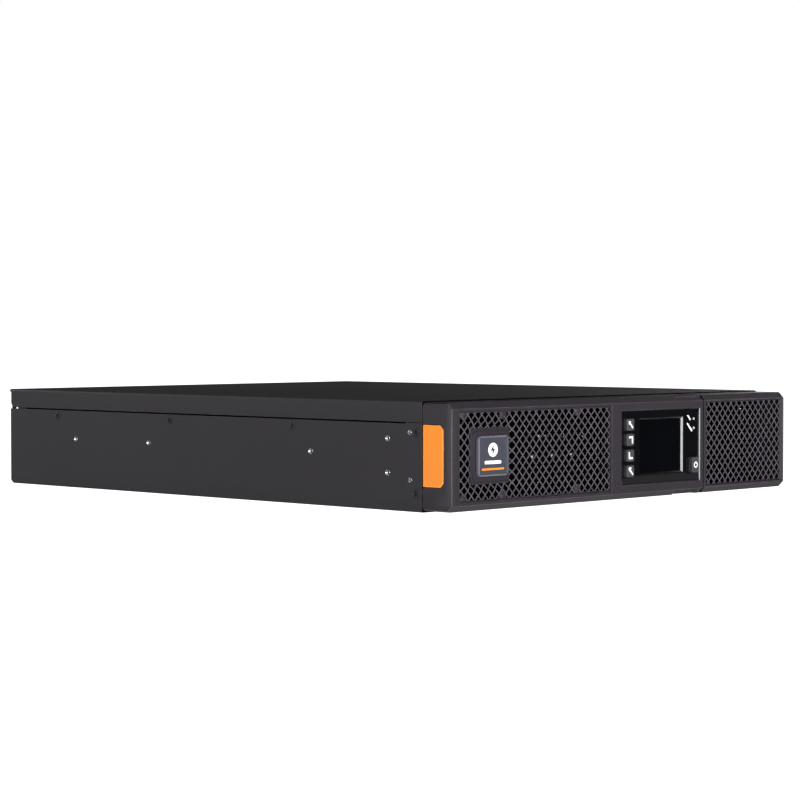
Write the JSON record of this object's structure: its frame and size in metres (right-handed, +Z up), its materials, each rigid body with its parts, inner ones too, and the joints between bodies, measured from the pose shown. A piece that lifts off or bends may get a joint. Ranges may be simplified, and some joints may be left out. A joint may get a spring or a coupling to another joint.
{
  "type": "uninterruptible power supply",
  "caption": "Low, deep rack or tower power supply box with mesh front bezels, a small display with keys, a turning badge, orange side inlays, a slide-out battery pack and rear outlets and fans.",
  "frame": {"origin": "middle of the underside", "axes": "+X to the right of someone facing the front panel, -Y out of the front panel, +Z up"},
  "size_m": [0.43, 0.545, 0.085],
  "materials": {
    "chassis_paint": "fine-textured powder coat, charcoal",
    "bezel_plastic": "fine spark-eroded texture",
    "display_gloss": "glossy black",
    "key_plastic": "satin grey",
    "badge_plastic": "satin blue-grey",
    "accent_orange": "satin orange",
    "white_print": "printed white",
    "zinc_sheet": "zinc plated",
    "aluminium": "extruded",
    "copper_winding": "enamelled copper wire",
    "circuit_board": "solder mask",
    "battery_case": "moulded case",
    "connector_plastic": "moulded nylon",
    "capacitor_sleeve": "shrink sleeve",
    "lamp_clear": "clear moulded"
  },
  "bodies": {
    "chassis": {"base_tray": "chassis_paint", "top_cover": "chassis_paint", "rear_panel": "chassis_paint", "front_plate": "chassis_paint", "bay_divider": "zinc_sheet", "vent_bezel": "bezel_plastic", "right_grille": "bezel_plastic", "accent_right": "accent_orange", "bay_connector": "connector_plastic", "main_board": "circuit_board", "filter_board": "circuit_board", "control_board": "circuit_board", "heatsink_left": "aluminium", "heatsink_right": "aluminium", "choke_left": "copper_winding", "choke_right": "copper_winding", "bus_capacitor_1": "capacitor_sleeve", "bus_capacitor_2": "capacitor_sleeve", "transformer": "battery_case", "fan_frame_left": "connector_plastic", "fan_frame_right": "connector_plastic", "power_inlet": "connector_plastic", "outlet_bank_upper": "connector_plastic", "outlet_bank_lower": "connector_plastic", "outlet_large": "connector_plastic", "battery_port": "connector_plastic", "signal_ports": "connector_plastic", "card_slot_cover": "zinc_sheet", "breaker_body": "connector_plastic"},
    "front_bezel": {"display_bezel": "bezel_plastic", "left_grille": "bezel_plastic", "accent_left": "accent_orange", "display_fascia": "display_gloss", "display_window": "display_gloss", "lcd_module": "zinc_sheet", "display_board": "circuit_board", "display_housing": "connector_plastic", "light_pipe": "lamp_clear", "display_ribbon": "lamp_clear"},
    "bay_door": {"battery_door": "chassis_paint", "door_screw_left": "zinc_sheet", "door_screw_right": "zinc_sheet"},
    "battery_pack": {"battery_tray": "zinc_sheet", "battery_1": "battery_case", "battery_2": "battery_case", "battery_3": "battery_case", "battery_4": "battery_case", "battery_handle": "connector_plastic", "pack_connector": "connector_plastic"},
    "badge": {"badge": "badge_plastic"},
    "release_top": {"release_top": "bezel_plastic"},
    "release_bottom": {"release_bottom": "bezel_plastic"},
    "key_escape": {"key_escape": "key_plastic"},
    "key_up": {"key_up": "key_plastic"},
    "key_down": {"key_down": "key_plastic"},
    "key_enter": {"key_enter": "key_plastic"},
    "power_button": {"power_button": "key_plastic"},
    "fan_rotor_left": {"fan_rotor_left": "connector_plastic"},
    "fan_rotor_right": {"fan_rotor_right": "connector_plastic"},
    "breaker_button": {"breaker_button": "key_plastic"}
  },
  "joints": [
    {"name": "battery_pull", "type": "slide", "parent": "chassis", "child": "battery_pack", "axis": [0, -1, 0], "range_m": [0, 0.31]},
    {"name": "bay_door_pull", "type": "slide", "parent": "chassis", "child": "bay_door", "axis": [0, -1, 0], "range_m": [0, 0.341]},
    {"name": "bezel_pull", "type": "slide", "parent": "chassis", "child": "front_bezel", "axis": [0, -1, 0], "range_m": [0, 0.3721]},
    {"name": "badge_turn", "type": "hinge", "parent": "front_bezel", "child": "badge", "pos_m": [-0.1688, -0.267, 0.0428], "axis": [0, 1, 0], "range_deg": [0, 90]},
    {"name": "release_top_press", "type": "slide", "parent": "front_bezel", "child": "release_top", "axis": [0, 0, -1], "range_m": [0, 0.0015], "stiffness_N_per_m": 600},
    {"name": "release_bottom_press", "type": "slide", "parent": "front_bezel", "child": "release_bottom", "axis": [0, 0, 1], "range_m": [0, 0.0015], "stiffness_N_per_m": 600},
    {"name": "power_press", "type": "slide", "parent": "front_bezel", "child": "power_button", "axis": [0, 1, 0], "range_m": [0, 0.0008], "stiffness_N_per_m": 400},
    {"name": "key_escape_press", "type": "slide", "parent": "front_bezel", "child": "key_escape", "axis": [0, 1, 0], "range_m": [0, 0.0008], "stiffness_N_per_m": 400},
    {"name": "key_up_press", "type": "slide", "parent": "front_bezel", "child": "key_up", "axis": [0, 1, 0], "range_m": [0, 0.0008], "stiffness_N_per_m": 400},
    {"name": "key_down_press", "type": "slide", "parent": "front_bezel", "child": "key_down", "axis": [0, 1, 0], "range_m": [0, 0.0008], "stiffness_N_per_m": 400},
    {"name": "key_enter_press", "type": "slide", "parent": "front_bezel", "child": "key_enter", "axis": [0, 1, 0], "range_m": [0, 0.0008], "stiffness_N_per_m": 400},
    {"name": "fan_left_spin", "type": "hinge", "parent": "chassis", "child": "fan_rotor_left", "pos_m": [0.0885, 0.25, 0.0425], "axis": [0, 1, 0], "continuous": true},
    {"name": "fan_right_spin", "type": "hinge", "parent": "chassis", "child": "fan_rotor_right", "pos_m": [0.1705, 0.25, 0.0425], "axis": [0, 1, 0], "continuous": true},
    {"name": "breaker_reset", "type": "slide", "parent": "chassis", "child": "breaker_button", "axis": [0, 1, 0], "range_m": [0, 0.003]}
  ],
  "couplings": [
    {"joint": "bay_door_pull", "follows": "battery_pull", "ratio": 1.1},
    {"joint": "bezel_pull", "follows": "battery_pull", "ratio": 1.2}
  ]
}
